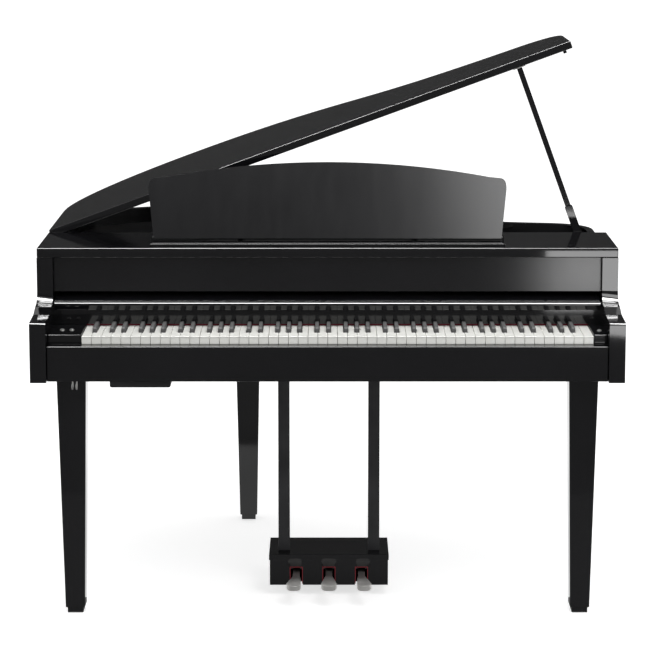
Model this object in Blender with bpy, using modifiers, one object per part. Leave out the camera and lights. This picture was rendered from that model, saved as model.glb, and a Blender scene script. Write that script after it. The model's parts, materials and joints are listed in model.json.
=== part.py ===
"""Compact digital grand piano with the lid up, modelled as its separate pieces.

Units are metres. +X is to the player's right, +Y to the back and +Z up. The origin is on the floor
under the middle of the body. Depths below are measured backwards from the fronts of the arms.
"""
import math

import bmesh
import bpy
from mathutils import Matrix, Vector

GAP = 0.0003                # clearance between pieces that touch

# Whole body
WIDTH = 1.430
DEPTH = 1.146
UNDERSIDE = 0.600           # height of the body's underside
ARM_THICKNESS = 0.039
TOP_BOARD_FRONT = 0.181
TOP_BOARD_REAR = 0.4515
TOP_BOARD_THICKNESS = 0.024
TOP = 0.900                 # height of the top board's upper face

# Lid, rim and hinge
LID_WIDTH = WIDTH - 0.014
LID_THICKNESS = 0.019
LID_CLEARANCE = 0.008       # gap between the rim and the closed lid
LID_ANGLE = math.radians(20.03)
RIM_TOP = 0.878
RIM_THICKNESS = 0.020
RIM_INSET = 0.006           # overhang of the lid past the rim
HINGE_DROP = 0.0025         # hinge pin below the lid's underside
HINGE_OUT = 0.003           # hinge pin outside the lid's left edge
HINGE_RADIUS = 0.003
PROP_SEAT = LID_WIDTH - 0.140    # distance of the prop's seat from the hinge pin
PROP_DEPTH = TOP_BOARD_REAR + 0.0235
PROP_PIVOT_HEIGHT = 0.862
SHORT_PROP = 0.111

# Keys
KEY_PITCH = 0.0238
KEY_COUNT = 88
KEY_FRONT = 0.045
SHARP_FRONT = 0.0965
KEY_REAR = 0.317
COMB_REAR = 0.345
KEY_GAP = 0.0010
KEY_BOTTOM = 0.686
KEY_TOP = 0.705
SHARP_TOP = 0.717
SHARP_WIDTH = 0.0105
KEYS_LEFT = -WIDTH / 2 + 0.1205
FIRST_FREE_KEY = 39         # the C in the middle, counted from 0
FREE_KEY_NAMES = ("key_c", "key_c_sharp", "key_d", "key_d_sharp", "key_e")
SHARP_SHIFT = {1: -0.0022, 3: 0.0022, 6: -0.0032, 8: 0.0, 10: 0.0032}

# Fallboard
RAIL_FRONT = 0.187
RAIL_TOP = 0.755
COVER_ANGLE = math.radians(16)
COVER_THICKNESS = 0.012
COVER_LENGTH = 0.230
COVER_START = (0.1835, 0.7565)
PANEL_BOTTOM = 0.789
PANEL_FRONT = 0.200

# Music rest
REST_WIDTH = 0.866
REST_HEIGHT = 0.193
REST_THICKNESS = 0.012
REST_LEAN = math.radians(22.8)
REST_AXIS = (0.270, 0.914)
STAY_UP = 0.075
STAY_BEHIND = 0.009
STAY_LENGTH = 0.096

# Legs and pedals
LEG_TOP = 0.072
LEG_FOOT = 0.048
FOOT_WIDTH = 0.039
FOOT_HEIGHT = 0.015
FRONT_LEG_X = WIDTH / 2 - 0.091
FRONT_LEG_DEPTH = 0.113
REAR_LEG = (-0.156 * WIDTH, DEPTH - 0.141)
LYRE_X = 0.0035
BOX_WIDTH = 0.299
BOX_FRONT = 0.235
BOX_REAR = 0.393
BOX_BOTTOM = 0.029
BOX_TOP = 0.106
BOX_WALL = 0.006
COVER_SHEET = 0.003
PEDAL_PITCH = 0.0825
PEDAL_AXLE = (0.300, 0.055)
PEDAL_TIP = 0.113
AXLE_RADIUS = 0.0035

HALF = WIDTH / 2
INNER = HALF - ARM_THICKNESS - GAP
LID_LEFT = -LID_WIDTH / 2 + 0.0005
LID_BOTTOM = RIM_TOP + LID_CLEARANCE
HINGE_X = LID_LEFT - HINGE_OUT
HINGE_Z = LID_BOTTOM - HINGE_DROP
BOARD_BOTTOM = TOP - TOP_BOARD_THICKNESS


def y_at(depth):
    """Turn a depth behind the arm fronts into a Y coordinate."""
    return depth - DEPTH / 2


def collection(name):
    """Make a collection and hang it under the scene."""
    made = bpy.data.collections.new(name)
    bpy.context.scene.collection.children.link(made)
    return made


def material(name, colour, roughness, metallic=0.0):
    """Make a plain Principled material."""
    made = bpy.data.materials.new(name)
    made.use_nodes = True
    shader = made.node_tree.nodes["Principled BSDF"]
    shader.inputs["Base Color"].default_value = (*colour, 1.0)
    shader.inputs["Roughness"].default_value = roughness
    shader.inputs["Metallic"].default_value = metallic
    return made


def add_mesh(name, shape, finish, bevel=0.0, cutter=False):
    """Link a bmesh as an object with one material and optional rounded edges."""
    bmesh.ops.recalc_face_normals(shape, faces=shape.faces)
    mesh = bpy.data.meshes.new(name)
    shape.to_mesh(mesh)
    shape.free()
    made = bpy.data.objects.new(name, mesh)
    (CUTTERS if cutter else PARTS).objects.link(made)
    if finish:
        mesh.materials.append(finish)
    if cutter:
        made.hide_render = True
        made.display_type = "WIRE"
    if bevel:
        rounding = made.modifiers.new("rounded_edges", "BEVEL")
        rounding.width = bevel
        rounding.segments = 2
        rounding.limit_method = "ANGLE"
        rounding.angle_limit = math.radians(40)
    return made


def box_shape(x, depth, z):
    """A box from its low and high X, depth and Z."""
    shape = bmesh.new()
    bmesh.ops.create_cube(shape, size=1.0)
    size = Vector((x[1] - x[0], depth[1] - depth[0], z[1] - z[0]))
    centre = Vector(((x[0] + x[1]) / 2, y_at((depth[0] + depth[1]) / 2), (z[0] + z[1]) / 2))
    bmesh.ops.scale(shape, vec=size, verts=shape.verts)
    bmesh.ops.translate(shape, vec=centre, verts=shape.verts)
    return shape


def box(name, x, depth, z, finish, bevel=0.0, cutter=False):
    return add_mesh(name, box_shape(x, depth, z), finish, bevel, cutter)


def round_bar(name, centre, axis, radius, length, finish, sides=20, cutter=False):
    """A cylinder round a centre (X, depth, Z) along the named axis."""
    shape = bmesh.new()
    bmesh.ops.create_cone(shape, cap_ends=True, segments=sides, radius1=radius, radius2=radius,
                          depth=length)
    turn = {"X": Matrix.Rotation(math.pi / 2, 4, "Y"), "Y": Matrix.Rotation(math.pi / 2, 4, "X"),
            "Z": Matrix.Identity(4)}[axis]
    place = Matrix.Translation((centre[0], y_at(centre[1]), centre[2]))
    bmesh.ops.transform(shape, matrix=place @ turn, verts=shape.verts)
    return add_mesh(name, shape, finish, cutter=cutter)


def outline(name, points, low, high, plane, finish, bevel=0.0, cutter=False):
    """Extrude a flat outline: plane "top" is (X, depth), "side" is (depth, Z), "front" is (X, Z)."""
    curve = bpy.data.curves.new(name, "CURVE")
    curve.dimensions = "2D"
    curve.fill_mode = "BOTH"
    curve.extrude = (high - low) / 2
    spline = curve.splines.new("POLY")
    spline.points.add(len(points) - 1)
    for point, place in zip(spline.points, points):
        point.co = (place[0], place[1], 0.0, 1.0)
    spline.use_cyclic_u = True
    guide = bpy.data.objects.new(name + "_outline", curve)
    CUTTERS.objects.link(guide)
    mesh = bpy.data.meshes.new_from_object(guide.evaluated_get(bpy.context.evaluated_depsgraph_get()))
    bpy.data.objects.remove(guide)
    shape = bmesh.new()
    shape.from_mesh(mesh)
    bpy.data.meshes.remove(mesh)
    bmesh.ops.remove_doubles(shape, verts=shape.verts, dist=0.000001)
    middle = (low + high) / 2
    back = -DEPTH / 2
    to_world = {
        "top": Matrix(((1, 0, 0, 0), (0, 1, 0, back), (0, 0, 1, middle), (0, 0, 0, 1))),
        "side": Matrix(((0, 0, 1, middle), (1, 0, 0, back), (0, 1, 0, 0), (0, 0, 0, 1))),
        "front": Matrix(((1, 0, 0, 0), (0, 0, -1, y_at(middle)), (0, 1, 0, 0), (0, 0, 0, 1))),
    }[plane]
    bmesh.ops.transform(shape, matrix=to_world, verts=shape.verts)
    return add_mesh(name, shape, finish, bevel, cutter)


def rounded(corners, steps=4):
    """Replace each (u, v, radius) corner of an outline by an arc."""
    points = []
    for index, (u, v, radius) in enumerate(corners):
        here = Vector((u, v))
        if radius == 0:
            points.append(here)
            continue
        before = (Vector(corners[index - 1][:2]) - here).normalized()
        after = (Vector(corners[(index + 1) % len(corners)][:2]) - here).normalized()
        half = before.angle(after) / 2
        start = here + before * radius / math.tan(half)
        end = here + after * radius / math.tan(half)
        centre = here + (before + after).normalized() * radius / math.sin(half)
        for step in range(steps + 1):
            spoke = (start - centre).lerp(end - centre, step / steps)
            points.append(centre + spoke.normalized() * radius)
    return points


def bezier(start, first, second, end, steps):
    """Points along a cubic curve, without its last one."""
    points = []
    for step in range(steps):
        t = step / steps
        s = 1 - t
        points.append(Vector(start) * s ** 3 + Vector(first) * 3 * s * s * t
                      + Vector(second) * 3 * s * t * t + Vector(end) * t ** 3)
    return points


def join(body, *others, solver="EXACT"):
    """Unite solids with a body and keep one closed piece."""
    for other in others:
        union = body.modifiers.new("join", "BOOLEAN")
        union.operation = "UNION"
        union.object = other
        union.solver = solver
        other.hide_render = True
    return body


def cut(body, *cutters):
    for cutter in cutters:
        hole = body.modifiers.new("cut", "BOOLEAN")
        hole.operation = "DIFFERENCE"
        hole.object = cutter
    return body


def hang(pieces, name, depth, height, x=0.0, turn=0.0, axis="Y"):
    """Parent pieces to an empty on their joint's axis and turn it."""
    pivot = bpy.data.objects.new(name, None)
    PARTS.objects.link(pivot)
    pivot.location = (x, y_at(depth), height)
    bpy.context.view_layer.update()
    for piece in pieces:
        piece.parent = pivot
        piece.matrix_parent_inverse = pivot.matrix_world.inverted()
    setattr(pivot.rotation_euler, axis.lower(), turn)
    return pivot


def case_curve():
    """The lid's plan from its front right corner round the tail to its front left corner."""
    left = LID_LEFT
    right = LID_LEFT + LID_WIDTH
    cheek = (right, 0.659)
    shoulder = (left + 0.9181 * LID_WIDTH, 0.785)
    waist = (left + 0.6638 * LID_WIDTH, 0.901)
    tail = (left + 0.2839 * LID_WIDTH, DEPTH)
    spine = (left, 0.818)
    points = [Vector((right, TOP_BOARD_REAR + GAP))]
    points += bezier(cheek, (right, 0.735), (shoulder[0] + 0.060, shoulder[1] - 0.008), shoulder, 9)
    points += bezier(shoulder, (shoulder[0] - 0.120, shoulder[1] + 0.017),
                     (waist[0] + 0.110, waist[1] - 0.068), waist, 9)
    points += bezier(waist, (waist[0] - 0.130, waist[1] + 0.081), (tail[0] + 0.270, tail[1]), tail, 10)
    points += bezier(tail, (tail[0] - 0.250, tail[1]), (spine[0], spine[1] + 0.205), spine, 12)
    points += [Vector(spine), Vector((left, TOP_BOARD_REAR + GAP))]
    return points


def inset(points, distance):
    """Move an open run of points sideways, towards the inside of the case."""
    moved = []
    for index, point in enumerate(points):
        before = points[max(index - 1, 0)]
        after = points[min(index + 1, len(points) - 1)]
        run = (after - before).normalized()
        moved.append(point + Vector((-run.y, run.x)) * distance)
    return moved


def make_case():
    plan = case_curve()
    outer = inset(plan, RIM_INSET)
    inner = inset(plan, RIM_INSET + RIM_THICKNESS)
    lining = inset(plan, RIM_INSET + RIM_THICKNESS + GAP)
    outline("case_rim", outer + inner[::-1], UNDERSIDE, RIM_TOP, "top", EBONY, 0.0015)
    outline("bottom_board", lining, UNDERSIDE + GAP, UNDERSIDE + 0.018, "top", BOARD)
    outline("soundboard", lining, 0.826, 0.838, "top", PANEL)
    profile = [(0, UNDERSIDE - 0.001, 0.0015), (TOP_BOARD_REAR, UNDERSIDE - 0.001, 0),
               (TOP_BOARD_REAR, BOARD_BOTTOM - GAP, 0), (0.178, BOARD_BOTTOM - GAP, 0),
               (0.178, 0.768, 0.032), (0.132, 0.762, 0.010), (0.090, 0.7495, 0.030),
               (0, 0.7455, 0.007)]
    for name, side in (("left_arm", -1), ("right_arm", 1)):
        faces = sorted((side * HALF, side * (HALF - ARM_THICKNESS)))
        outline(name, rounded(profile), faces[0], faces[1], "side", EBONY, 0.0015)
    box("keybed", (-INNER, INNER), (KEY_FRONT - GAP, 0.4397), (UNDERSIDE, 0.640), BOARD)
    box("key_slip", (-INNER, INNER), (0.013, KEY_FRONT - 2 * GAP), (UNDERSIDE, KEY_BOTTOM), EBONY, 0.002)
    box("belly_rail", (-INNER, INNER), (0.440, TOP_BOARD_REAR), (UNDERSIDE, BOARD_BOTTOM - GAP), BOARD)
    box("top_board", (-HALF, HALF), (TOP_BOARD_FRONT, TOP_BOARD_REAR), (BOARD_BOTTOM, TOP), EBONY, 0.0025)
    box("name_panel", (-INNER, INNER), (PANEL_FRONT, PANEL_FRONT + 0.012),
        (PANEL_BOTTOM, BOARD_BOTTOM - GAP), SATIN, 0.001)
    rail = [(RAIL_FRONT, 0.722), (RAIL_FRONT + 0.0015, 0.722), (RAIL_FRONT + 0.0015, 0.7095),
            (PANEL_FRONT, 0.7095), (PANEL_FRONT, RAIL_TOP), (RAIL_FRONT, RAIL_TOP)]
    outline("nameboard_rail", rail, -INNER, INNER, "side", EBONY)
    key_right = KEYS_LEFT + 52 * KEY_PITCH
    box("felt_strip", (KEYS_LEFT, key_right), (RAIL_FRONT + 0.0015, PANEL_FRONT),
        (KEY_TOP + 2 * GAP, 0.7092), FELT)
    for name, low, high in (("left_cheek_block", -INNER, KEYS_LEFT - 0.001),
                            ("right_cheek_block", key_right + 0.001, INNER)):
        block = box(name, (low, high), (KEY_FRONT, RAIL_FRONT), (0.640 + GAP, 0.709), EBONY, 0.0015)
        for x, depth, _ in [spot for spot in BUTTONS if low < spot[0] < high]:
            cut(block, round_bar(name + "_bore", (x, depth, 0.707), "Z", 0.0043, 0.012, None, cutter=True))
    for x, depth, name in BUTTONS:
        round_bar(name, (x, depth, 0.7075), "Z", 0.004, 0.009, METAL)
    for name, side in (("left_cover_runner", -1), ("right_cover_runner", 1)):
        faces = sorted((side * INNER, side * (INNER - 0.020)))
        under = [cover_point(along, -GAP) for along in (0.020, 0.250)]
        low = [cover_point(along, -0.010) for along in (0.250, 0.020)]
        outline(name, under + low, faces[0], faces[1], "side", METAL)
    round_bar("rim_stud", (LID_LEFT + LID_WIDTH - 0.018, 0.589, RIM_TOP + 0.0038 + GAP), "Z", 0.004, 0.0074, RUBBER)
    for name, x in (("left_speaker", -0.36), ("right_speaker", 0.36)):
        ring = round_bar(name, (x, 0.600, 0.8405), "Z", 0.075, 0.004, PLASTIC, sides=40)
        for step in range(5):
            slot = box(name + "_slot", (x - 0.050, x + 0.050),
                       (0.567 + step * 0.015, 0.573 + step * 0.015), (0.8395, 0.845), None, cutter=True)
            cut(ring, slot)


def cover_point(along, up):
    """A point of the sliding cover's slope, as (depth, height)."""
    return (COVER_START[0] + along * math.cos(COVER_ANGLE) - up * math.sin(COVER_ANGLE),
            COVER_START[1] + along * math.sin(COVER_ANGLE) + up * math.cos(COVER_ANGLE))


def make_cover():
    half = INNER - 0.004
    sheet = [cover_point(0, 0), cover_point(COVER_LENGTH, 0), cover_point(COVER_LENGTH, COVER_THICKNESS),
             cover_point(0, COVER_THICKNESS)]
    outline("key_cover", sheet, -half, half, "side", EBONY, 0.0008)
    nose = [(*cover_point(-0.014, -0.007), 0.003), (*cover_point(-GAP, -0.007), 0.001),
            (*cover_point(-GAP, COVER_THICKNESS), 0), (*cover_point(-0.014, COVER_THICKNESS), 0.006)]
    outline("key_cover_nosing", rounded(nose), -half, half, "side", EBONY)


def key_layout():
    """Every key as (is_sharp, head left, head right, tail left, tail right)."""
    keys = []
    natural = 0
    for index in range(KEY_COUNT):
        note = (index + 9) % 12
        if note in SHARP_SHIFT:
            centre = KEYS_LEFT + natural * KEY_PITCH + SHARP_SHIFT[note]
            keys.append([True, 0, 0, centre - SHARP_WIDTH / 2, centre + SHARP_WIDTH / 2])
        else:
            left = KEYS_LEFT + natural * KEY_PITCH
            keys.append([False, left + KEY_GAP / 2, left + KEY_PITCH - KEY_GAP / 2,
                         left + KEY_GAP / 2, left + KEY_PITCH - KEY_GAP / 2])
            natural += 1
    for index, key in enumerate(keys):
        if key[0]:
            continue
        if index and keys[index - 1][0]:
            key[3] = keys[index - 1][4] + KEY_GAP
        if index + 1 < KEY_COUNT and keys[index + 1][0]:
            key[4] = keys[index + 1][3] - KEY_GAP
    return keys


def key_plan(key, rear):
    """One key seen from above, from its rear left corner round its front."""
    sharp, head_left, head_right, tail_left, tail_right = key
    if sharp:
        return [(tail_left, rear), (tail_left, SHARP_FRONT), (tail_right, SHARP_FRONT), (tail_right, rear)]
    notch = SHARP_FRONT - 0.0015
    plan = [(tail_left, rear)]
    if tail_left > head_left:
        plan += [(tail_left, notch), (head_left, notch)]
    plan += [(head_left, KEY_FRONT), (head_right, KEY_FRONT)]
    if tail_right < head_right:
        plan += [(head_right, notch), (tail_right, notch)]
    return plan + [(tail_right, rear)]


def sharp_caps(name, keys):
    """The raised tops of sharp keys, narrower above and sloped in front, as one cutter."""
    caps = bmesh.new()
    for key in keys:
        cap = sharp_cap(key)
        mesh = bpy.data.meshes.new(name)
        cap.to_mesh(mesh)
        cap.free()
        caps.from_mesh(mesh)
        bpy.data.meshes.remove(mesh)
    return add_mesh(name, caps, None, cutter=True)


def sharp_cap(key):
    """One sharp key's raised top."""
    inside = 0.0002
    shape = box_shape((key[3] + inside, key[4] - inside), (SHARP_FRONT + inside, RAIL_FRONT - 0.0004),
                      (KEY_TOP - 0.004, SHARP_TOP))
    for vertex in shape.verts:
        if vertex.co.z > KEY_TOP:
            middle = (key[3] + key[4]) / 2
            vertex.co.x = middle + (vertex.co.x - middle) * 0.85
            if vertex.co.y < y_at(0.15):
                vertex.co.y += 0.005
    return shape


def make_keys():
    keys = key_layout()
    free = range(FIRST_FREE_KEY, FIRST_FREE_KEY + len(FREE_KEY_NAMES))
    slot_end = KEY_REAR + 0.001
    comb = [(KEYS_LEFT, COMB_REAR)]
    for index, key in enumerate(keys):
        if index not in free:
            comb += key_plan(key, slot_end)
    comb += [(KEYS_LEFT + 52 * KEY_PITCH, COMB_REAR)]
    keyboard = outline("keyboard", comb, KEY_BOTTOM, KEY_TOP, "top", IVORY)
    fixed_sharps = [key for index, key in enumerate(keys) if key[0] and index not in free]
    join(keyboard, sharp_caps("sharp_tops", fixed_sharps), solver="MANIFOLD")
    for name, index in zip(FREE_KEY_NAMES, free):
        key = keys[index]
        piece = outline(name, key_plan(key, KEY_REAR), KEY_BOTTOM, KEY_TOP, "top",
                        BLACK_KEY if key[0] else IVORY)
        if key[0]:
            join(piece, sharp_caps(name + "_top", [key]))
        hang([piece], name + "_axis", KEY_REAR - 0.010, KEY_BOTTOM)
    frame = [(0.050, 0.6403), (0.380, 0.6403), (0.380, 0.664), (0.345, 0.664), (0.345, KEY_BOTTOM - GAP),
             (0.300, KEY_BOTTOM - GAP), (0.300, 0.664), (0.085, 0.664), (0.085, 0.673), (0.060, 0.673),
             (0.060, 0.664), (0.050, 0.664)]
    outline("key_frame", frame, KEYS_LEFT, KEYS_LEFT + 52 * KEY_PITCH, "side", BOARD)


def make_lid():
    lid = outline("lid", case_curve(), LID_BOTTOM, LID_BOTTOM + LID_THICKNESS, "top", EBONY, 0.002)
    pieces = [lid]
    leaf_right = HINGE_X + 0.035
    for name, depth in (("front", 0.500), ("rear", 0.760)):
        fixed = round_bar(name + "_lid_hinge", (HINGE_X, depth, HINGE_Z), "Y", HINGE_RADIUS, 0.030, METAL)
        plate = box(name + "_hinge_plate", (HINGE_X, leaf_right), (depth - 0.015, depth + 0.015),
                    (RIM_TOP + GAP, RIM_TOP + 0.0033), None, cutter=True)
        join(fixed, plate)
        beside = depth + 0.0303
        leaf = round_bar(name + "_lid_leaf", (HINGE_X, beside, HINGE_Z), "Y", HINGE_RADIUS, 0.030, METAL)
        sheet = box(name + "_leaf_plate", (HINGE_X, leaf_right), (beside - 0.015, beside + 0.015),
                    (LID_BOTTOM - 0.0028, LID_BOTTOM - GAP), None, cutter=True)
        join(leaf, sheet)
        pieces += [leaf, sheet]
    seat_x = HINGE_X + PROP_SEAT
    pieces.append(round_bar("lid_bumper", (LID_LEFT + LID_WIDTH - 0.021, 0.470, LID_BOTTOM - 0.0040), "Z",
                            0.0045, 0.0074, RUBBER))
    cup_drop = 0.003
    pieces.append(box("prop_cup", (seat_x - 0.016, seat_x + 0.016), (PROP_DEPTH - 0.011, PROP_DEPTH + 0.011),
                      (LID_BOTTOM - GAP - cup_drop, LID_BOTTOM - GAP), METAL, 0.0008))
    hang(pieces, "lid_axis", 0.6, HINGE_Z, HINGE_X, -LID_ANGLE)
    return LID_BOTTOM - GAP - cup_drop - HINGE_Z


def make_props(cup_face):
    """The two sticks stand at right angles to the lid on one pin."""
    tip_x = HINGE_X + PROP_SEAT * math.cos(LID_ANGLE) - cup_face * math.sin(LID_ANGLE)
    tip_z = HINGE_Z + PROP_SEAT * math.sin(LID_ANGLE) + cup_face * math.cos(LID_ANGLE)
    length = (tip_z - PROP_PIVOT_HEIGHT) / math.cos(LID_ANGLE)
    x = tip_x + length * math.sin(LID_ANGLE)
    z = PROP_PIVOT_HEIGHT
    front = PROP_DEPTH - 0.005
    for name, reach, half, low, high in (
            ("long_prop", length - GAP, 0.0068, front, front + 0.010),
            ("short_prop", SHORT_PROP, 0.0098, front - 0.0105, front - 0.0005)):
        plan = [(x - half, z + reach, 0.003), (x + half, z + reach, 0.003),
                (x + half, z - 0.009, 0.004), (x - half, z - 0.009, 0.004)]
        stick = outline(name, rounded(plan[::-1], 3), low, high, "front", EBONY)
        cut(stick, round_bar(name + "_bore", (x, PROP_DEPTH, z), "Y", 0.0033, 0.060, None, cutter=True))
        hang([stick], name + "_axis", PROP_DEPTH, z, x, -LID_ANGLE)
    bracket = box("prop_bracket", (x - 0.018, x + 0.018), (front - 0.0165, front + 0.0165),
                  (0.8383, 0.8413), METAL)
    ears = [box("bracket_ear_%d" % index, (x - 0.008, x + 0.008), (low, low + 0.004), (0.840, z + 0.008),
                None, cutter=True) for index, low in enumerate((front - 0.0155, front + 0.0115))]
    pin = round_bar("bracket_pin", (x, front - 0.0005, z), "Y", 0.003, 0.030, None, cutter=True)
    join(bracket, *ears, pin)


def make_music_rest():
    depth, height = REST_AXIS
    half = REST_WIDTH / 2
    ledge = box("music_rest_ledge", (-half - 0.0055, half + 0.0055), (0.206, 0.262),
                (TOP + GAP, TOP + 0.0068), EBONY, 0.001)
    for side in (-1, 1):
        x = sorted((side * (half + 0.0020), side * (half + 0.0055)))
        lug = box("rest_lug", x, (0.255, 0.276), (TOP + GAP, height + 0.006), None, cutter=True)
        pin = round_bar("rest_pin", (side * (half - 0.002), depth, height), "X", 0.002, 0.010, None, 12, True)
        join(ledge, lug, pin)
    arc = 2.13
    plan = [(-half, height - 0.005, 0.001), (half, height - 0.005, 0.001),
            (half + 0.0155, height + 0.129, 0.06), (half + 0.011, height + REST_HEIGHT - 0.043, 0.015)]
    for step in range(9, -10, -1):
        across = step * 0.045
        plan.append((across, height + REST_HEIGHT - arc + math.sqrt(arc * arc - across * across), 0))
    plan += [(-half - 0.011, height + REST_HEIGHT - 0.043, 0.015), (-half - 0.0155, height + 0.129, 0.06)]
    panel = outline("music_rest_panel", rounded(plan), depth - REST_THICKNESS / 2,
                    depth + REST_THICKNESS / 2, "front", EBONY, 0.0015)
    cut(panel, *[round_bar("rest_bore", (side * half, depth, height), "X", 0.0024, 0.030, None, 12, True)
                 for side in (-1, 1)])
    pieces = [panel]
    stay_z = height + STAY_UP
    stay_depth = depth + STAY_BEHIND
    drop = (STAY_UP * math.cos(REST_LEAN) - STAY_BEHIND * math.sin(REST_LEAN) + height - TOP
            - 0.002 - GAP)
    stay_angle = math.asin(drop / STAY_LENGTH)
    for name, x in (("left_music_stay", -0.22), ("right_music_stay", 0.22)):
        for side in (-1, 1):
            ear_x = sorted((x + side * 0.0065, x + side * 0.0115))
            ear = box("stay_ear", ear_x, (depth + 0.004, depth + 0.0125), (stay_z - 0.006, stay_z + 0.006),
                      None, cutter=True)
            bore = round_bar("stay_bore", (x, stay_depth, stay_z), "X", 0.0018, 0.024, None, 12, True)
            join(panel, ear)
            pieces += [ear, bore]
        cut(panel, bore)
        stay = box(name, (x - 0.006, x + 0.006), (stay_depth - 0.002, stay_depth + STAY_LENGTH),
                   (stay_z - 0.002, stay_z + 0.002), METAL)
        axle = round_bar(name + "_axle", (x, stay_depth, stay_z), "X", 0.0015, 0.022, None, 12, True)
        join(stay, axle)
        pivot = hang([stay, axle], name + "_axis", stay_depth, stay_z, x, -stay_angle + REST_LEAN, "X")
        pieces.append(pivot)
    hang(pieces, "music_rest_axis", depth, height, 0.0, -REST_LEAN, "X")


def make_leg(name, x, depth):
    """A square leg that tapers down to a stepped foot."""
    half = LEG_TOP / 2
    leg = box_shape((x - half, x + half), (depth - half, depth + half),
                    (FOOT_HEIGHT - 0.001, UNDERSIDE - GAP))
    for vertex in leg.verts:
        if vertex.co.z < 0.1:
            vertex.co.x = x + (vertex.co.x - x) * LEG_FOOT / LEG_TOP
            vertex.co.y = y_at(depth) + (vertex.co.y - y_at(depth)) * LEG_FOOT / LEG_TOP
    piece = add_mesh(name, leg, EBONY, 0.002)
    half = FOOT_WIDTH / 2
    foot = box(name + "_foot", (x - half, x + half), (depth - half, depth + half), (0, FOOT_HEIGHT + 0.004),
               None, cutter=True)
    join(piece, foot)


def pedal_plan(flare_left, flare_right):
    """A pedal from above about its own centre line, as (X, depth)."""
    arm = 0.0085
    tip = PEDAL_TIP
    plan = [(-arm, 0.312, 0.002), (-arm, 0.205, 0), (-0.011, 0.190, 0.02), (-flare_left, tip + 0.022, 0.012),
            (-flare_left * 0.72, tip, 0.012), (flare_right * 0.72, tip, 0.012),
            (flare_right, tip + 0.022, 0.012), (0.011, 0.190, 0.02), (arm, 0.205, 0), (arm, 0.312, 0.002)]
    return rounded(plan, 3)


def make_lyre():
    for name, x in (("left_lyre_post", LYRE_X - 0.1135), ("right_lyre_post", LYRE_X + 0.1135)):
        box(name, (x - 0.0145, x + 0.0145), (0.268, 0.283), (BOX_TOP + COVER_SHEET + GAP, UNDERSIDE - GAP),
            POST, 0.001)
    half = BOX_WIDTH / 2
    shell = box("pedal_box", (LYRE_X - half, LYRE_X + half), (BOX_FRONT, BOX_REAR),
                (BOX_BOTTOM, BOX_TOP - GAP), EBONY)
    hollow = box("box_hollow", (LYRE_X - half + BOX_WALL, LYRE_X + half - BOX_WALL),
                 (BOX_FRONT + BOX_WALL, BOX_REAR - BOX_WALL), (BOX_BOTTOM + 0.005, BOX_TOP + 0.01), None,
                 cutter=True)
    cut(shell, hollow)
    pedals = []
    for name, step, left, right in (("left_pedal", -1, 0.024, 0.0125), ("centre_pedal", 0, 0.0195, 0.0195),
                                    ("right_pedal", 1, 0.0125, 0.024)):
        x = LYRE_X + step * PEDAL_PITCH
        cut(shell, box(name + "_slot", (x - 0.0165, x + 0.0165), (BOX_FRONT - 0.01, BOX_FRONT + 0.030),
                       (BOX_BOTTOM - 0.01, 0.0765), None, cutter=True))
        plan = [(x + u, depth) for u, depth in pedal_plan(left, right)]
        pedal = outline(name, plan, PEDAL_AXLE[1] - 0.006, PEDAL_AXLE[1] + 0.0065, "top", NICKEL, 0.0025)
        cut(pedal, round_bar(name + "_bore", (x, PEDAL_AXLE[0], PEDAL_AXLE[1]), "X", AXLE_RADIUS + GAP, 0.06,
                             None, cutter=True))
        pedals.append(pedal)
        hang([pedal], name + "_axis", PEDAL_AXLE[0], PEDAL_AXLE[1], x)
    round_bar("pedal_axle", (LYRE_X, *PEDAL_AXLE), "X", AXLE_RADIUS, BOX_WIDTH - 2 * BOX_WALL - 2 * GAP,
              METAL)
    lid = box("pedal_box_cover", (LYRE_X - half - 0.002, LYRE_X + half + 0.002),
              (BOX_FRONT - 0.002, BOX_REAR + 0.002), (BOX_TOP - 0.012, BOX_TOP + COVER_SHEET), EBONY, 0.001)
    cut(lid, box("cover_hollow", (LYRE_X - half - GAP, LYRE_X + half + GAP),
                 (BOX_FRONT - GAP, BOX_REAR + GAP), (BOX_TOP - 0.03, BOX_TOP), None, cutter=True))
    round_bar("pedal_adjuster", (LYRE_X, 0.360, (BOX_BOTTOM - GAP) / 2), "Z", 0.012, BOX_BOTTOM - GAP,
              PLASTIC)


def make_fittings():
    jack = [(-0.525, 0.585, 0.005), (-0.378, 0.585, 0.005), (-0.378, UNDERSIDE - GAP, 0),
            (-0.525, UNDERSIDE - GAP, 0)]
    outline("jack_box", rounded(jack), 0.018, 0.118, "front", PLASTIC)
    plate = box("headphone_hanger", (-0.630, -0.596), (0.0465, 0.066), (UNDERSIDE - 0.0028, UNDERSIDE - GAP),
                METAL)
    for index, x in enumerate((-0.6175, -0.6080)):
        curve = bpy.data.curves.new("hook", "CURVE")
        curve.dimensions = "3D"
        curve.bevel_depth = 0.002
        curve.bevel_resolution = 2
        curve.use_fill_caps = True
        bend = [(0.054, UNDERSIDE - 0.002), (0.054, 0.584)]
        bend += [(0.047 + 0.007 * math.cos(turn), 0.582 + 0.007 * math.sin(turn))
                 for turn in [-math.pi * step / 6 for step in range(7)]]
        bend += [(0.040, 0.588)]
        spline = curve.splines.new("POLY")
        spline.points.add(len(bend) - 1)
        for point, (depth, z) in zip(spline.points, bend):
            point.co = (x, y_at(depth), z, 1.0)
        guide = bpy.data.objects.new("hook_guide", curve)
        CUTTERS.objects.link(guide)
        mesh = bpy.data.meshes.new_from_object(
            guide.evaluated_get(bpy.context.evaluated_depsgraph_get()))
        bpy.data.objects.remove(guide)
        shape = bmesh.new()
        shape.from_mesh(mesh)
        bmesh.ops.remove_doubles(shape, verts=shape.verts, dist=0.000001)
        join(plate, add_mesh("hook_%d" % index, shape, None, cutter=True))


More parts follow.
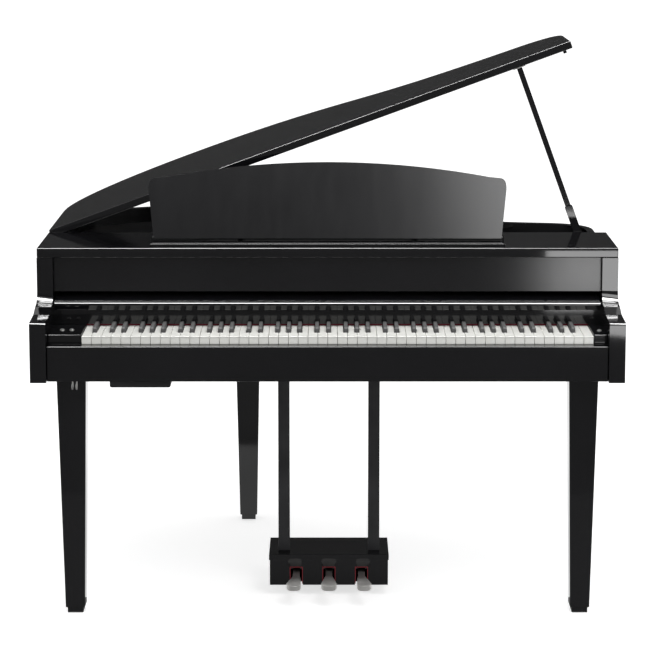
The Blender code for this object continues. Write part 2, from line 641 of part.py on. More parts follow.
BUTTONS = ((0.0293 - INNER, 0.108, "first_button"), (0.0521 - INNER, 0.108, "second_button"),
           (INNER - 0.0137, 0.100, "power_button"))

for leftover in list(bpy.data.objects):
    bpy.data.objects.remove(leftover)
PARTS = collection("digital_grand_piano")
CUTTERS = collection("cutters")

EBONY = material("polished_ebony", (0.012, 0.012, 0.014), 0.08)
BOARD = material("painted_board", (0.020, 0.020, 0.022), 0.6)
PANEL = material("inner_panel", (0.030, 0.030, 0.033), 0.5)
SATIN = material("satin_panel", (0.020, 0.020, 0.022), 0.30)
FELT = material("red_felt", (0.20, 0.010, 0.018), 0.95)
IVORY = material("key_white", (0.84, 0.84, 0.80), 0.30)
BLACK_KEY = material("key_black", (0.010, 0.010, 0.010), 0.35)
METAL = material("plated_steel", (0.45, 0.45, 0.44), 0.30, 1.0)
NICKEL = material("polished_nickel", (0.62, 0.61, 0.59), 0.22, 1.0)
POST = material("dark_metal_post", (0.028, 0.028, 0.030), 0.45)
PLASTIC = material("black_plastic", (0.018, 0.018, 0.019), 0.45)
RUBBER = material("black_rubber", (0.015, 0.015, 0.015), 0.8)

make_case()
make_cover()
make_keys()
make_props(make_lid())
make_music_rest()
for leg_name, leg_x, leg_depth in (("front_left_leg", -FRONT_LEG_X, FRONT_LEG_DEPTH),
                                   ("front_right_leg", FRONT_LEG_X, FRONT_LEG_DEPTH),
                                   ("rear_leg", *REAR_LEG)):
    make_leg(leg_name, leg_x, leg_depth)
make_lyre()
make_fittings()
bpy.context.view_layer.update()
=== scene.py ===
"""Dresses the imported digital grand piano: lacquer, keys, felts, small fittings, floor, lamps and camera."""

import json
import math

import bmesh
import bpy
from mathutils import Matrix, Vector

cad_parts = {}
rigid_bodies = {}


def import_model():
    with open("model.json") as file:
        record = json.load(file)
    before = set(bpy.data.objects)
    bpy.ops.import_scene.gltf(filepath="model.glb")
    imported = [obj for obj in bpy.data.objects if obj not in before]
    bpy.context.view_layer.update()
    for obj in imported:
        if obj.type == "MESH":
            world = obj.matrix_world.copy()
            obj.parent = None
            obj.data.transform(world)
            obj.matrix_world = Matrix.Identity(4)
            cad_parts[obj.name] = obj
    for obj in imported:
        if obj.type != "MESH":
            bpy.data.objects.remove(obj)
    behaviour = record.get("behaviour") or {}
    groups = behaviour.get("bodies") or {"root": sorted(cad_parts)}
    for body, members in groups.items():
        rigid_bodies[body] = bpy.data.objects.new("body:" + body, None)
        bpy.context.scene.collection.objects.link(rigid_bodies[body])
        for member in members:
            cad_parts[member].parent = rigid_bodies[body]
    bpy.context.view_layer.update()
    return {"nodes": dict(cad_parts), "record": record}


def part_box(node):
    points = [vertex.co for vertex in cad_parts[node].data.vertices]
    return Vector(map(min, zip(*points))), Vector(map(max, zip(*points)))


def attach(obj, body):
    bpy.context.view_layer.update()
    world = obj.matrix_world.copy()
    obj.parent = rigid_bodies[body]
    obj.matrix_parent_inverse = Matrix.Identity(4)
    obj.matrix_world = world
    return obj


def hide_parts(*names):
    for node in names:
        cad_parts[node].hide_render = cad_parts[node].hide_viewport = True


bl_info = {
    "name": "Digital Grand Piano Dressing",
    "version": (1, 0, 0),
    "blender": (4, 5, 0),
    "location": "3D View > Sidebar > Piano",
    "description": "Gives a compact digital grand piano its finishes, its keys and its studio",
    "category": "Object",
}

for leftover in list(bpy.data.objects):
    bpy.data.objects.remove(leftover)
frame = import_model()
NODES = frame["nodes"]

# Keyboard layout, in metres; depths are counted back from the fronts of the arms
ARM_FRONT = -0.573
KEY_COUNT = 88
KEYS_LEFT = -0.5945
KEY_FRONT = 0.045
KEY_REAR = 0.317
COMB_REAR = 0.345
SHARP_FRONT = 0.0965
KEY_BOTTOM = 0.686
KEY_TOP = 0.705
SHARP_TOP = 0.717
RAIL_FRONT = 0.187
SHARP_SHIFT = {1: -0.0022, 3: 0.0022, 6: -0.0032, 8: 0.0, 10: 0.0032}
FREE_KEYS = {39: "key_c", 40: "key_c_sharp", 41: "key_d", 42: "key_d_sharp", 43: "key_e"}

# Pedal box slots
SLOT_HALF_WIDTH = 0.0165
SLOT_TOP = 0.0765
SLOT_FOOT = 0.032
FELT_THICKNESS = 0.0019


class FinishSettings(bpy.types.PropertyGroup):
    """Colours and gloss of the visible finishes."""

    ebony: bpy.props.FloatVectorProperty(
        name="Ebony", description="Colour of the polished black lacquer", subtype="COLOR",
        size=3, min=0.0, max=1.0, default=(0.0040, 0.0040, 0.0047))
    ebony_gloss: bpy.props.FloatProperty(
        name="Ebony Roughness", description="Roughness of the polished lacquer", subtype="FACTOR",
        min=0.0, max=1.0, default=0.07)
    ivory: bpy.props.FloatVectorProperty(
        name="Key White", description="Colour of the natural keys", subtype="COLOR",
        size=3, min=0.0, max=1.0, default=(0.84, 0.835, 0.80))
    # Felt colour: the wool's own deep red, darkened further as painted shade for the felt that sits in the
    # pedal slots and along the back of the keys.
    felt: bpy.props.FloatVectorProperty(
        name="Felt", description="Colour of the wool felt", subtype="COLOR",
        size=3, min=0.0, max=1.0, default=(0.085, 0.006, 0.013))
    nickel: bpy.props.FloatVectorProperty(
        name="Nickel", description="Colour of the pedals' plating", subtype="COLOR",
        size=3, min=0.0, max=1.0, default=(0.66, 0.65, 0.63))


class KeySettings(bpy.types.PropertyGroup):
    """Sizes of the keys."""

    pitch: bpy.props.FloatProperty(
        name="Pitch", description="Distance between natural keys", unit="LENGTH", default=0.0238)
    gap: bpy.props.FloatProperty(
        name="Gap", description="Gap between neighbouring keys", unit="LENGTH", default=0.0010)
    plate: bpy.props.FloatProperty(
        name="Key Top", description="Thickness of a natural key's top plate", unit="LENGTH", default=0.0024)
    lip: bpy.props.FloatProperty(
        name="Lip", description="Overhang of the top plate in front", unit="LENGTH", default=0.0014)
    edge: bpy.props.FloatProperty(
        name="Edge", description="Radius on a natural key's edges", unit="LENGTH", default=0.0007)
    sharp_width: bpy.props.FloatProperty(
        name="Sharp Width", description="Width of a sharp key at its foot", unit="LENGTH", default=0.0105)
    sharp_edge: bpy.props.FloatProperty(
        name="Sharp Edge", description="Radius on a sharp key's edges", unit="LENGTH", default=0.0014)


class StudioSettings(bpy.types.PropertyGroup):
    """Strength of the lamps and the camera's lens."""

    room_light: bpy.props.FloatProperty(
        name="Room Light", description="Brightness of the white room on dull surfaces", default=0.68)
    top_lamp: bpy.props.FloatProperty(
        name="Top Lamp", description="Power of the softbox overhead", unit="POWER", default=64.0)
    side_lamp: bpy.props.FloatProperty(
        name="Side Lamp", description="Power of the softbox at the right", unit="POWER", default=3.4)
    edge_lamp: bpy.props.FloatProperty(
        name="Edge Lamp", description="Power of the strip that lights only polished edges", unit="POWER",
        default=560.0)
    rest_lamp: bpy.props.FloatProperty(
        name="Rest Lamp", description="Power of the softbox seen in the music rest", unit="POWER", default=20.0)
    lens: bpy.props.FloatProperty(
        name="Lens", description="Focal length of the camera in millimetres", default=135.9)


def settings(name):
    """Give one of the scene's property groups by its name."""
    return getattr(bpy.context.scene, name)


def y_at(depth):
    """Turn a depth behind the arm fronts into a Y coordinate."""
    return depth + ARM_FRONT


# Shared surface effects

def new_effect(name, inputs, outputs):
    """Start a shader node group with its named sockets."""
    tree = bpy.data.node_groups.new(name, "ShaderNodeTree")
    for label, kind, default in inputs:
        socket = tree.interface.new_socket(name=label, in_out="INPUT", socket_type="NodeSocket" + kind)
        socket.default_value = default
    for label, kind in outputs:
        tree.interface.new_socket(name=label, in_out="OUTPUT", socket_type="NodeSocket" + kind)
    return tree, tree.nodes.new("NodeGroupInput").outputs, tree.nodes.new("NodeGroupOutput").inputs


def put(tree, kind, links=None, **values):
    """Add a node, set its plain properties and connect or fill its inputs."""
    made = tree.nodes.new("ShaderNode" + kind)
    for name, value in values.items():
        setattr(made, name, value)
    for name, source in (links or {}).items():
        if isinstance(source, bpy.types.NodeSocket):
            tree.links.new(source, made.inputs[name])
        else:
            made.inputs[name].default_value = source
    return made


def surface_place(tree, stretch=(1.0, 1.0, 1.0)):
    """Object coordinates in metres, stretched per axis."""
    coordinates = put(tree, "TexCoord")
    mapping = put(tree, "Mapping", {"Vector": coordinates.outputs["Object"], "Scale": stretch})
    return mapping.outputs["Vector"]


def shade(tree, tint, mask, darkest, lightest):
    """Multiply a colour by a mask spread between two levels."""
    level = put(tree, "MapRange", {"Value": mask, "From Min": 0.3, "From Max": 0.7, "To Min": darkest,
                                   "To Max": lightest})
    mixed = put(tree, "VectorMath", {0: tint, 1: level.outputs["Result"]}, operation="MULTIPLY")
    return mixed.outputs["Vector"]


def spread(tree, base, mask, amount):
    """Add a centred mask, times an amount, to a value."""
    centred = put(tree, "Math", {0: mask, 1: 0.5}, operation="SUBTRACT")
    scaled = put(tree, "Math", {0: centred.outputs["Value"], 1: amount, 2: base}, operation="MULTIPLY_ADD")
    return scaled.outputs["Value"]


def noise(tree, place, scale, detail=3.0):
    """Soft noise over a place."""
    made = put(tree, "TexNoise", {"Vector": place, "Scale": scale, "Detail": detail})
    return made.outputs["Fac"]


def bump(tree, height, strength, distance):
    """Normal of a height map."""
    made = put(tree, "Bump", {"Height": height, "Strength": strength, "Distance": distance})
    return made.outputs["Normal"]


COLOUR_OUT = (("Color", "Color"), ("Roughness", "Float"), ("Normal", "Vector"))


def lacquer_effect():
    """Sprayed and buffed lacquer: faint depth, buffing haze and a trace of orange peel."""
    tree, given, result = new_effect("Lacquer Skin", (
        ("Tint", "Color", (0.01, 0.01, 0.01, 1.0)), ("Roughness", "Float", 0.15),
        ("Haze", "Float", 0.05), ("Peel", "Float", 0.05)), COLOUR_OUT)
    place = surface_place(tree)
    cloud = noise(tree, place, 3.5)
    buffing = noise(tree, surface_place(tree, (30.0, 6.0, 6.0)), 1.6, 4.0)
    peel = noise(tree, place, 180.0, 2.0)
    tree.links.new(shade(tree, given["Tint"], cloud, 0.85, 1.2), result["Color"])
    tree.links.new(spread(tree, given["Roughness"], buffing, given["Haze"]), result["Roughness"])
    tree.links.new(bump(tree, peel, given["Peel"], 0.0002), result["Normal"])
    return tree


def grain_effect():
    """Moulded or sprayed grain with uneven sheen."""
    tree, given, result = new_effect("Fine Grain", (
        ("Tint", "Color", (0.02, 0.02, 0.02, 1.0)), ("Roughness", "Float", 0.5),
        ("Scale", "Float", 900.0), ("Depth", "Float", 0.3)), COLOUR_OUT)
    place = surface_place(tree)
    grit = put(tree, "TexNoise", {"Vector": place, "Scale": given["Scale"], "Detail": 4.0})
    cloud = noise(tree, place, 12.0)
    tree.links.new(shade(tree, given["Tint"], cloud, 0.8, 1.25), result["Color"])
    tree.links.new(spread(tree, given["Roughness"], cloud, 0.18), result["Roughness"])
    tree.links.new(bump(tree, grit.outputs["Fac"], given["Depth"], 0.0004), result["Normal"])
    return tree


def metal_effect():
    """Plated metal: long rubbing streaks and finger smudges."""
    tree, given, result = new_effect("Rubbed Metal", (
        ("Tint", "Color", (0.6, 0.6, 0.6, 1.0)), ("Roughness", "Float", 0.25),
        ("Streaks", "Float", 0.1), ("Smudges", "Float", 0.2)), COLOUR_OUT)
    streak = noise(tree, surface_place(tree, (700.0, 25.0, 700.0)), 1.0, 2.0)
    smudge = noise(tree, surface_place(tree), 35.0, 4.0)
    rough = spread(tree, given["Roughness"], smudge, given["Smudges"])
    tree.links.new(shade(tree, given["Tint"], smudge, 0.88, 1.04), result["Color"])
    tree.links.new(rough, result["Roughness"])
    tree.links.new(bump(tree, streak, given["Streaks"], 0.0002), result["Normal"])
    return tree


def fibre_effect():
    """Pressed wool: crossed fibres and darker pores."""
    tree, given, result = new_effect("Wool Fibre", (
        ("Tint", "Color", (0.2, 0.01, 0.02, 1.0)), ("Roughness", "Float", 0.95),
        ("Nap", "Float", 0.7)), COLOUR_OUT)
    along = noise(tree, surface_place(tree, (260.0, 1500.0, 1500.0)), 1.0, 3.0)
    across = noise(tree, surface_place(tree, (1500.0, 260.0, 600.0)), 1.0, 3.0)
    woven = put(tree, "Math", {0: along, 1: across}, operation="MAXIMUM")
    tree.links.new(shade(tree, given["Tint"], woven.outputs["Value"], 0.55, 1.3), result["Color"])
    tree.links.new(spread(tree, given["Roughness"], along, 0.08), result["Roughness"])
    tree.links.new(bump(tree, woven.outputs["Value"], given["Nap"], 0.0006), result["Normal"])
    return tree


def finish(name, effect, colour, inputs, specular=0.5, metallic=0.0, coat=0.0, sheen=0.0):
    """Make one finish: an effect's outputs feeding a Principled shader."""
    made = bpy.data.materials.new(name)
    made.use_nodes = True
    tree = made.node_tree
    shader = tree.nodes["Principled BSDF"]
    group = tree.nodes.new("ShaderNodeGroup")
    group.node_tree = effect
    group.inputs["Tint"].default_value = (*colour, 1.0)
    for label, value in inputs.items():
        group.inputs[label].default_value = value
    tree.links.new(group.outputs["Color"], shader.inputs["Base Color"])
    tree.links.new(group.outputs["Roughness"], shader.inputs["Roughness"])
    tree.links.new(group.outputs["Normal"], shader.inputs["Normal"])
    shader.inputs["Specular IOR Level"].default_value = specular
    shader.inputs["Metallic"].default_value = metallic
    shader.inputs["Coat Weight"].default_value = coat
    shader.inputs["Sheen Weight"].default_value = sheen
    return made


def make_finishes():
    """Every finish of the record's material slots, by slot name."""
    look = settings("piano_finish")
    lacquer = lacquer_effect()
    grain = grain_effect()
    metal = metal_effect()
    fibre = fibre_effect()
    ebony = tuple(look.ebony)
    return {
        "polished_ebony": finish("polished_ebony", lacquer, ebony, {
            "Roughness": look.ebony_gloss, "Haze": 0.03, "Peel": 0.05}),
        "rest_lacquer": finish("rest_lacquer", lacquer, ebony, {
            "Roughness": 0.20, "Haze": 0.04, "Peel": 0.05}),
        "satin_panel": finish("satin_panel", lacquer, (0.006, 0.006, 0.007), {
            "Roughness": 0.22, "Haze": 0.04, "Peel": 0.06}),
        "painted_board": finish("painted_board", grain, (0.016, 0.016, 0.018), {
            "Roughness": 0.62, "Scale": 500.0, "Depth": 0.25}, specular=0.15),
        "inner_panel": finish("inner_panel", grain, (0.020, 0.020, 0.023), {
            "Roughness": 0.5, "Scale": 650.0, "Depth": 0.2}, specular=0.2),
        # red_felt: the felt's real deep red plus painted shade, for the pedal slots and the strip behind the
        # keys.
        "red_felt": finish("red_felt", fibre, tuple(look.felt), {"Roughness": 0.95, "Nap": 0.8},
                           specular=0.1, sheen=0.3),
        "key_white": finish("key_white", grain, tuple(look.ivory), {
            "Roughness": 0.28, "Scale": 420.0, "Depth": 0.03}, specular=0.35),
        "key_black": finish("key_black", grain, (0.008, 0.008, 0.009), {
            "Roughness": 0.34, "Scale": 1400.0, "Depth": 0.12}, specular=0.3),
        "plated_steel": finish("plated_steel", metal, (0.46, 0.46, 0.45), {
            "Roughness": 0.34, "Streaks": 0.25, "Smudges": 0.25}, metallic=1.0),
        "polished_nickel": finish("polished_nickel", metal, tuple(look.nickel), {
            "Roughness": 0.50, "Streaks": 0.06, "Smudges": 0.15}, metallic=1.0),
        "dark_metal_post": finish("dark_metal_post", grain, (0.024, 0.024, 0.026), {
            "Roughness": 0.5, "Scale": 800.0, "Depth": 0.25}, specular=0.25),
        "black_plastic": finish("black_plastic", grain, (0.013, 0.013, 0.014), {
            "Roughness": 0.5, "Scale": 1100.0, "Depth": 0.4}, specular=0.3),
        "black_rubber": finish("black_rubber", grain, (0.011, 0.011, 0.011), {
            "Roughness": 0.8, "Scale": 700.0, "Depth": 0.35}, specular=0.2),
    }


# Mesh helpers

def prism(shape, outline, shift):
    """Add a closed prism: a ring of points and its copy moved by a shift."""
    low = [shape.verts.new(point) for point in outline]
    high = [shape.verts.new(Vector(point) + Vector(shift)) for point in outline]
    count = len(outline)
    shape.faces.new(low)
    shape.faces.new(high[::-1])
    for index in range(count):
        after = (index + 1) % count
        shape.faces.new((low[after], low[index], high[index], high[after]))


def lathe(shape, centre, profile, steps=32):
    """Add a closed turned solid round Z from (radius, height) points; the ends lie on the axis."""
    rings = []
    for radius, height in profile:
        if radius == 0:
            rings.append([shape.verts.new(centre + Vector((0, 0, height)))])
            continue
        rings.append([shape.verts.new(centre + Vector((radius * math.cos(turn), radius * math.sin(turn),
                                                       height)))
                      for turn in [math.tau * step / steps for step in range(steps)]])
    for lower, upper in zip(rings, rings[1:]):
        for index in range(steps):
            after = (index + 1) % steps
            if len(lower) == 1:
                shape.faces.new((lower[0], upper[index], upper[after]))
            elif len(upper) == 1:
                shape.faces.new((lower[after], lower[index], upper[0]))
            else:
                shape.faces.new((lower[after], lower[index], upper[index], upper[after]))


def piece(name, shape, slot, body, edge=0.0, segments=2, replaced=()):
    """Link a bmesh as a finished piece that rides on a body."""
    bmesh.ops.recalc_face_normals(shape, faces=shape.faces)
    mesh = bpy.data.meshes.new(name)
    shape.to_mesh(mesh)
    shape.free()
    made = bpy.data.objects.new(name, mesh)
    bpy.context.scene.collection.objects.link(made)
    mesh.materials.append(bpy.data.materials[slot])
    if edge:
        rounding = made.modifiers.new("rounded_edges", "BEVEL")
        rounding.width = edge
        rounding.segments = segments
        rounding.limit_method = "ANGLE"
        rounding.angle_limit = math.radians(40)
    smooth_by_angle(made)
    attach(made, body)
    if replaced:
        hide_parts(*replaced)
    return made


def smooth_by_angle(made):
    """Smooth the shading of an object between its sharp edges."""
    for face in made.data.polygons:
        face.use_smooth = True
    split = made.modifiers.new("sharp_edges", "EDGE_SPLIT")
    split.split_angle = math.radians(50)
    made.modifiers.new("even_shading", "WEIGHTED_NORMAL")


# Keys

def key_layout():
    """Every key as (is_sharp, head left, head right, tail left, tail right)."""
    sizes = settings("piano_keys")
    keys = []
    natural = 0
    for index in range(KEY_COUNT):
        note = (index + 9) % 12
        left = KEYS_LEFT + natural * sizes.pitch
        if note in SHARP_SHIFT:
            centre = left + SHARP_SHIFT[note]
            keys.append([True, 0, 0, centre - sizes.sharp_width / 2, centre + sizes.sharp_width / 2])
        else:
            low = left + sizes.gap / 2
            high = left + sizes.pitch - sizes.gap / 2
            keys.append([False, low, high, low, high])
            natural += 1
    for index, key in enumerate(keys):
        if key[0]:
            continue
        if index and keys[index - 1][0]:
            key[3] = keys[index - 1][4] + sizes.gap
        if index + 1 < KEY_COUNT and keys[index + 1][0]:
            key[4] = keys[index + 1][3] - sizes.gap
    return keys


def natural_plan(key, front, height):
    """A natural key from above, with the notches beside its sharps."""
    head_left, head_right, tail_left, tail_right = key[1:]
    notch = SHARP_FRONT - 0.0015
    plan = [(tail_left, KEY_REAR)]
    if tail_left > head_left:
        plan += [(tail_left, notch), (head_left, notch)]
    plan += [(head_left, front), (head_right, front)]
    if tail_right < head_right:
        plan += [(head_right, notch), (tail_right, notch)]
    plan.append((tail_right, KEY_REAR))
    return [(x, y_at(depth), height) for x, depth in plan]


def add_natural(shape, key):
    """A natural key: a body and a top plate that overhangs it a little."""
    sizes = settings("piano_keys")
    seat = KEY_TOP - sizes.plate
    prism(shape, natural_plan(key, KEY_FRONT + sizes.lip, KEY_BOTTOM), (0, 0, seat - KEY_BOTTOM))
    prism(shape, natural_plan(key, KEY_FRONT, seat), (0, 0, sizes.plate))


def add_sharp(shape, key):
    """A sharp key: upright foot, sides that lean in and a front that slopes back."""
    left, right = key[3:]
    middle = (left + right) / 2
    levels = ((KEY_BOTTOM, 1.0, 0.0, KEY_REAR), (KEY_TOP - 0.002, 1.0, 0.0, KEY_REAR),
              (SHARP_TOP - 0.0022, 0.90, 0.0030, RAIL_FRONT - 0.0004), (SHARP_TOP, 0.80, 0.0062,
                                                                        RAIL_FRONT - 0.0004))
    rings = []
    for height, share, back, rear in levels:
        half = (right - left) / 2 * share
        front = SHARP_FRONT + back
        rings.append([shape.verts.new((middle + x, y_at(depth), height)) for x, depth in (
            (-half, front), (half, front), (half, rear), (-half, rear))])
    for lower, upper in zip(rings, rings[1:]):
        for index in range(4):
            after = (index + 1) % 4
            shape.faces.new((lower[index], lower[after], upper[after], upper[index]))
    shape.faces.new(rings[0][::-1])
    shape.faces.new(rings[-1])


class PIANO_OT_keys(bpy.types.Operator):
    """Build the naturals and sharps, the five free ones as pieces of their own"""

    bl_idname = "piano.keys"
    bl_label = "Keys"

    def execute(self, context):
        sizes = settings("piano_keys")
        naturals = bmesh.new()
        sharps = bmesh.new()
        for index, key in enumerate(key_layout()):
            free = FREE_KEYS.get(index)
            shape = bmesh.new() if free else (sharps if key[0] else naturals)
            add = add_sharp if key[0] else add_natural
            add(shape, key)
            if free:
                slot = "key_black" if key[0] else "key_white"
                edge = sizes.sharp_edge if key[0] else sizes.edge
                piece("played_" + free, shape, slot, free, edge, 2, (free,))
        comb_right = KEYS_LEFT + 52 * sizes.pitch
        comb = [(KEYS_LEFT, KEY_REAR + 0.001), (comb_right, KEY_REAR + 0.001), (comb_right, COMB_REAR),
                (KEYS_LEFT, COMB_REAR)]
        comb_shape = bmesh.new()
        prism(comb_shape, [(x, y_at(depth), KEY_BOTTOM) for x, depth in comb],
              (0, 0, KEY_TOP - KEY_BOTTOM))
        piece("natural_keys", naturals, "key_white", "case", sizes.edge, 2, ("keyboard",))
        piece("sharp_keys", sharps, "key_black", "case", sizes.sharp_edge, 2)
        piece("key_comb", comb_shape, "painted_board", "case", 0.001)
        return {"FINISHED"}


# Felts

class PIANO_OT_pedal_felts(bpy.types.Operator):
    """Line the three pedal slots with folded felt"""

    bl_idname = "piano.pedal_felts"
    bl_label = "Pedal Felts"

    def execute(self, context):
        box_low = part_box("pedal_box")[0]
        shape = bmesh.new()
        for name in ("left_pedal", "centre_pedal", "right_pedal"):
            middle = PEDAL_X[name]
            outer = SLOT_HALF_WIDTH - 0.0001
            inner = SLOT_HALF_WIDTH - FELT_THICKNESS
            top = SLOT_TOP - 0.0001
            under = SLOT_TOP - FELT_THICKNESS
            turns = [(-outer, SLOT_FOOT), (-outer, top), (outer, top), (outer, SLOT_FOOT),
                     (inner, SLOT_FOOT), (inner, under), (-inner, under), (-inner, SLOT_FOOT)]
            front = box_low.y - 0.0008
            prism(shape, [(middle + x, front, z) for x, z in turns], (0, 0.0068, 0))
        piece("pedal_slot_felts", shape, "red_felt", "case", 0.0004)
        return {"FINISHED"}


PEDAL_X = {"left_pedal": -0.079, "centre_pedal": 0.0035, "right_pedal": 0.086}


# Small fittings

def add_screw(shape, centre, radius):
    """A domed screw head with a round driver recess."""
    height = radius * 0.55
    lathe(shape, Vector(centre), ((0, 0), (radius, 0), (radius, height * 0.35), (radius * 0.8, height * 0.8),
                                  (radius * 0.42, height), (radius * 0.36, height * 0.45),
                                  (0, height * 0.45)), 20)


class PIANO_OT_fittings(bpy.types.Operator):
    """Add button rings, screw heads and the turned speaker grilles"""

    bl_idname = "piano.fittings"
    bl_label = "Small Fittings"

    def execute(self, context):
        rings = bmesh.new()
        for name in ("first_button", "second_button", "power_button"):
            low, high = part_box(name)
            centre = Vector(((low.x + high.x) / 2, (low.y + high.y) / 2, 0.7091))
            add_ring(rings, centre, 0.0046, 0.0060, 0.0005)
        piece("button_rings", rings, "plated_steel", "case")
        screws = bmesh.new()
        for name in ("front_lid_hinge", "rear_lid_hinge"):
            low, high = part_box(name)
            for share in (0.25, 0.75):
                add_screw(screws, (high.x - 0.012, low.y + (high.y - low.y) * share, 0.8814), 0.0026)
        low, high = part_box("prop_bracket")
        for x in (low.x + 0.004, high.x - 0.004):
            add_screw(screws, (x, (low.y + high.y) / 2, 0.8414), 0.0026)
        piece("fixing_screws", screws, "plated_steel", "case")
        for name in ("left_speaker", "right_speaker"):
            low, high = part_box(name)
            centre = Vector(((low.x + high.x) / 2, (low.y + high.y) / 2, low.z))
            shape = bmesh.new()
            lathe(shape, centre, speaker_profile((high.x - low.x) / 2, high.z - low.z), 64)
            for index in range(4):
                turn = math.radians(45 + 90 * index)
                reach = (high.x - low.x) / 2 - 0.006
                add_screw(shape, centre + Vector((reach * math.cos(turn), reach * math.sin(turn),
                                                  high.z - low.z)), 0.0022)
            piece(name + "_grille", shape, "black_plastic", "case", 0, 2, (name,))
        return {"FINISHED"}


def add_ring(shape, centre, inner, outer, height, steps=32):
    """A flat ring with a raised round lip."""
    profile = ((inner, 0), (outer, 0), (outer, height * 0.5), ((inner + outer) / 2, height),
               (inner, height * 0.5))
    rings = [[shape.verts.new(centre + Vector((radius * math.cos(turn), radius * math.sin(turn), up)))
              for turn in [math.tau * step / steps for step in range(steps)]] for radius, up in profile]
    for index, ring in enumerate(rings):
        beside = rings[(index + 1) % len(rings)]
        for step in range(steps):
            after = (step + 1) % steps
            shape.faces.new((ring[after], ring[step], beside[step], beside[after]))


def speaker_profile(radius, height):
    """Flange, nine round ribs and a centre dome, from the foot's middle to the dome's middle."""
    profile = [(0, 0), (radius, 0), (radius, height * 0.8), (radius - 0.001, height),
               (radius - 0.011, height), (radius - 0.012, height * 0.4)]
    rib = radius - 0.014
    while rib > 0.016:
        profile += [(rib, height * 0.4), (rib - 0.0008, height * 0.9), (rib - 0.0022, height * 0.9),
                    (rib - 0.0030, height * 0.4)]
        rib -= 0.0062
    return profile + [(0.012, height * 0.4), (0.011, height * 0.9), (0.005, height), (0, height)]


OWN_FINISH = {"music_rest_panel": "rest_lacquer"}


class PIANO_OT_surfaces(bpy.types.Operator):
    """Make the finishes and give every carried-over solid its own"""

    bl_idname = "piano.surfaces"
    bl_label = "Surfaces"

    def execute(self, context):
        finishes = make_finishes()
        for entry in frame["record"]["subparts"]:
            node = NODES[entry["node"]]
            chosen = OWN_FINISH.get(entry["node"], entry["material_slot"])
            for holder in node.material_slots:
                holder.material = finishes[chosen]
            if "custom_normal" in node.data.attributes:
                node.data.attributes.remove(node.data.attributes["custom_normal"])
            weld = node.modifiers.new("closed_skin", "WELD")
            weld.merge_threshold = 0.00002
            smooth_by_angle(node)
        return {"FINISHED"}


# Studio

def white_room():
    """White behind the object and in its reflections, softer light on dull surfaces."""
    world = bpy.data.worlds.new("white_room")
    world.use_nodes = True
    bpy.context.scene.world = world
    tree = world.node_tree
    background = tree.nodes["Background"]
    rays = put(tree, "LightPath")
    seen = put(tree, "Math", {0: rays.outputs["Is Camera Ray"], 1: rays.outputs["Is Glossy Ray"]},
               operation="MAXIMUM")
    clear = put(tree, "Math", {0: seen.outputs["Value"], 1: rays.outputs["Is Transmission Ray"]},
                operation="MAXIMUM")
    level = put(tree, "MapRange", {"Value": clear.outputs["Value"],
                                   "To Min": settings("piano_studio").room_light, "To Max": 1.0})
    background.inputs["Color"].default_value = (1.0, 1.0, 1.0, 1.0)
    tree.links.new(level.outputs["Result"], background.inputs["Strength"])


FLOOR_GLOW = 0.64


def pale_floor():
    """A wide white floor that keeps the object's shadow."""
    shape = bmesh.new()
    bmesh.ops.create_circle(shape, cap_ends=True, segments=96, radius=60.0)
    mesh = bpy.data.meshes.new("floor")
    shape.to_mesh(mesh)
    shape.free()
    floor = bpy.data.objects.new("floor", mesh)
    floor.location = (0, 0, -0.0005)
    bpy.context.scene.collection.objects.link(floor)
    paint = bpy.data.materials.new("floor_white")
    paint.use_nodes = True
    tree = paint.node_tree
    shader = tree.nodes["Principled BSDF"]
    shader.inputs["Base Color"].default_value = (0.86, 0.86, 0.86, 1.0)
    shader.inputs["Roughness"].default_value = 0.9
    shader.inputs["Specular IOR Level"].default_value = 0.0
    rays = put(tree, "LightPath")
    seen = put(tree, "Math", {0: rays.outputs["Is Camera Ray"], 1: rays.outputs["Is Glossy Ray"]},
               operation="MAXIMUM")
    clear = put(tree, "Math", {0: seen.outputs["Value"], 1: rays.outputs["Is Transmission Ray"]},
                operation="MAXIMUM")
    glow = put(tree, "Math", {0: clear.outputs["Value"], 1: FLOOR_GLOW}, operation="MULTIPLY")
    shader.inputs["Emission Color"].default_value = (1.0, 1.0, 1.0, 1.0)
    tree.links.new(glow.outputs["Value"], shader.inputs["Emission Strength"])
    mesh.materials.append(paint)


def softbox(name, place, target, width, height, power):
    """A rectangular lamp aimed at a point."""
    lamp = bpy.data.lights.new(name, "AREA")
    lamp.shape = "RECTANGLE"
    lamp.size = width
    lamp.size_y = height
    lamp.energy = power
    made = bpy.data.objects.new(name, lamp)
    made.location = place
    made.rotation_euler = (Vector(target) - Vector(place)).to_track_quat("-Z", "Y").to_euler()
    made.visible_camera = False
    bpy.context.scene.collection.objects.link(made)
    return made


def dark_flag(name, x, y, z, level):
    """A dark card, from its low and high corners, that only the gloss of the lacquer sees."""
    shape = bmesh.new()
    corners = [(x[0], y[0], z[0]), (x[1], y[0], z[0]), (x[1], y[1], z[1]), (x[0], y[1], z[1])]
    shape.faces.new([shape.verts.new(corner) for corner in corners])
    mesh = bpy.data.meshes.new(name)
    shape.to_mesh(mesh)
    shape.free()
    card = bpy.data.objects.new(name, mesh)
    bpy.context.scene.collection.objects.link(card)
    paint = bpy.data.materials.new(name)
    paint.use_nodes = True
    shader = paint.node_tree.nodes["Principled BSDF"]
    shader.inputs["Base Color"].default_value = (0.02, 0.02, 0.02, 1.0)
    shader.inputs["Roughness"].default_value = 1.0
    shader.inputs["Emission Color"].default_value = (1.0, 1.0, 1.0, 1.0)
    shader.inputs["Emission Strength"].default_value = level
    mesh.materials.append(paint)
    card.visible_camera = False
    card.visible_diffuse = False
    card.visible_transmission = False
    card.visible_shadow = False


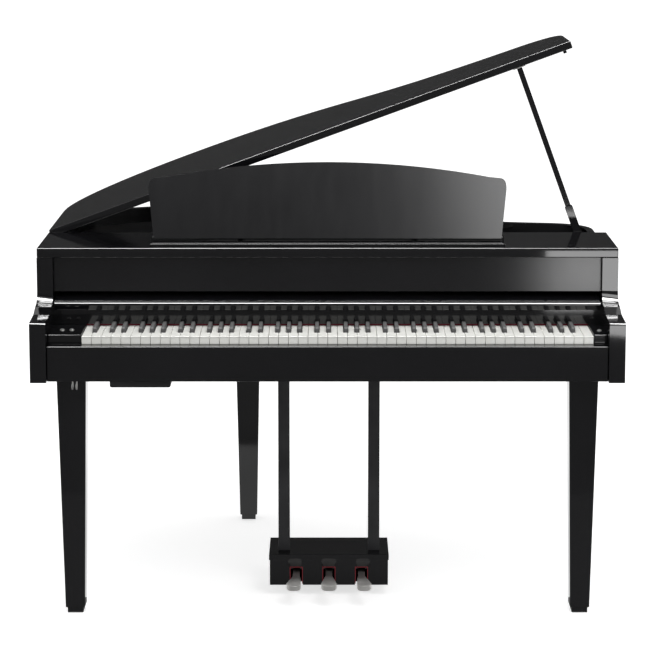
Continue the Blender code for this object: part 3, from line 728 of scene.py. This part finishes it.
def studio_camera():
    """The camera at the photograph's angle."""
    lens = bpy.data.cameras.new("studio_camera")
    lens.lens = settings("piano_studio").lens
    lens.sensor_width = 36.0
    lens.shift_y = -0.1
    lens.clip_end = 200.0
    made = bpy.data.objects.new("studio_camera", lens)
    made.location = (0.0, -6.3949, 1.8174)
    made.rotation_euler = (math.pi / 2 - 0.15727, 0.0, 0.0)
    bpy.context.scene.collection.objects.link(made)
    bpy.context.scene.camera = made


class PIANO_OT_stage(bpy.types.Operator):
    """Set the floor, the white room, the lamps and the camera"""

    bl_idname = "piano.stage"
    bl_label = "Stage"

    def execute(self, context):
        light = settings("piano_studio")
        white_room()
        pale_floor()
        softbox("top_softbox", (0.0, -1.0, 3.6), (0.0, -0.9, 0.8), 3.0, 0.8, light.top_lamp)
        side = softbox("side_softbox", (0.97, -1.3, 0.685), (0.97, 0.0, 0.685), 0.7, 0.21, light.side_lamp)
        strip = softbox("edge_softbox", (0.0, -1.0, 3.7), (0.0, -0.9, 0.8), 3.2, 1.2, light.edge_lamp)
        for lamp in (side, strip):
            lamp.visible_diffuse = False
        softbox("rest_softbox", (0.95, -2.4, 2.75), (0.25, -0.3, 1.0), 0.9, 1.1, light.rest_lamp)
        dark_flag("back_flag", (-4.5, 4.5), (3.0, 3.0), (0.0, 3.4), 0.008)
        dark_flag("low_front_flag", (-2.2, 2.2), (-1.5, -1.5), (0.0, 1.35), 0.17)
        dark_flag("high_front_flag", (-2.2, 2.2), (-2.9, -2.9), (1.9, 4.2), 0.05)
        dark_flag("floor_flag", (-1.8, 1.8), (-1.5, -0.36), (0.002, 0.003), 0.17)
        studio_camera()
        context.scene.view_settings.view_transform = "Standard"
        return {"FINISHED"}


class PIANO_PT_panel(bpy.types.Panel):
    """Lists the settings and the building steps"""

    bl_idname = "PIANO_PT_panel"
    bl_label = "Digital Grand Piano"
    bl_space_type = "VIEW_3D"
    bl_region_type = "UI"
    bl_category = "Piano"

    def draw(self, context):
        for name in SETTINGS:
            group = getattr(context.scene, name)
            box = self.layout.box()
            for key in group.__annotations__:
                box.prop(group, key)
        for operator in OPERATORS:
            self.layout.operator(operator.bl_idname)


SETTINGS = {"piano_finish": FinishSettings, "piano_keys": KeySettings, "piano_studio": StudioSettings}
OPERATORS = (PIANO_OT_surfaces, PIANO_OT_keys, PIANO_OT_pedal_felts, PIANO_OT_fittings, PIANO_OT_stage)


def register():
    """Register the classes and attach the settings to the scene."""
    for name, group in SETTINGS.items():
        bpy.utils.register_class(group)
        setattr(bpy.types.Scene, name, bpy.props.PointerProperty(type=group))
    for operator in OPERATORS:
        bpy.utils.register_class(operator)
    bpy.utils.register_class(PIANO_PT_panel)


def unregister():
    """Take the classes and settings away again."""
    bpy.utils.unregister_class(PIANO_PT_panel)
    for operator in reversed(OPERATORS):
        bpy.utils.unregister_class(operator)
    for name, group in reversed(SETTINGS.items()):
        delattr(bpy.types.Scene, name)
        bpy.utils.unregister_class(group)


def main():
    """Build everything in order."""
    register()
    bpy.ops.piano.surfaces()
    bpy.ops.piano.keys()
    bpy.ops.piano.pedal_felts()
    bpy.ops.piano.fittings()
    bpy.ops.piano.stage()


if __name__ == "__main__":
    main()
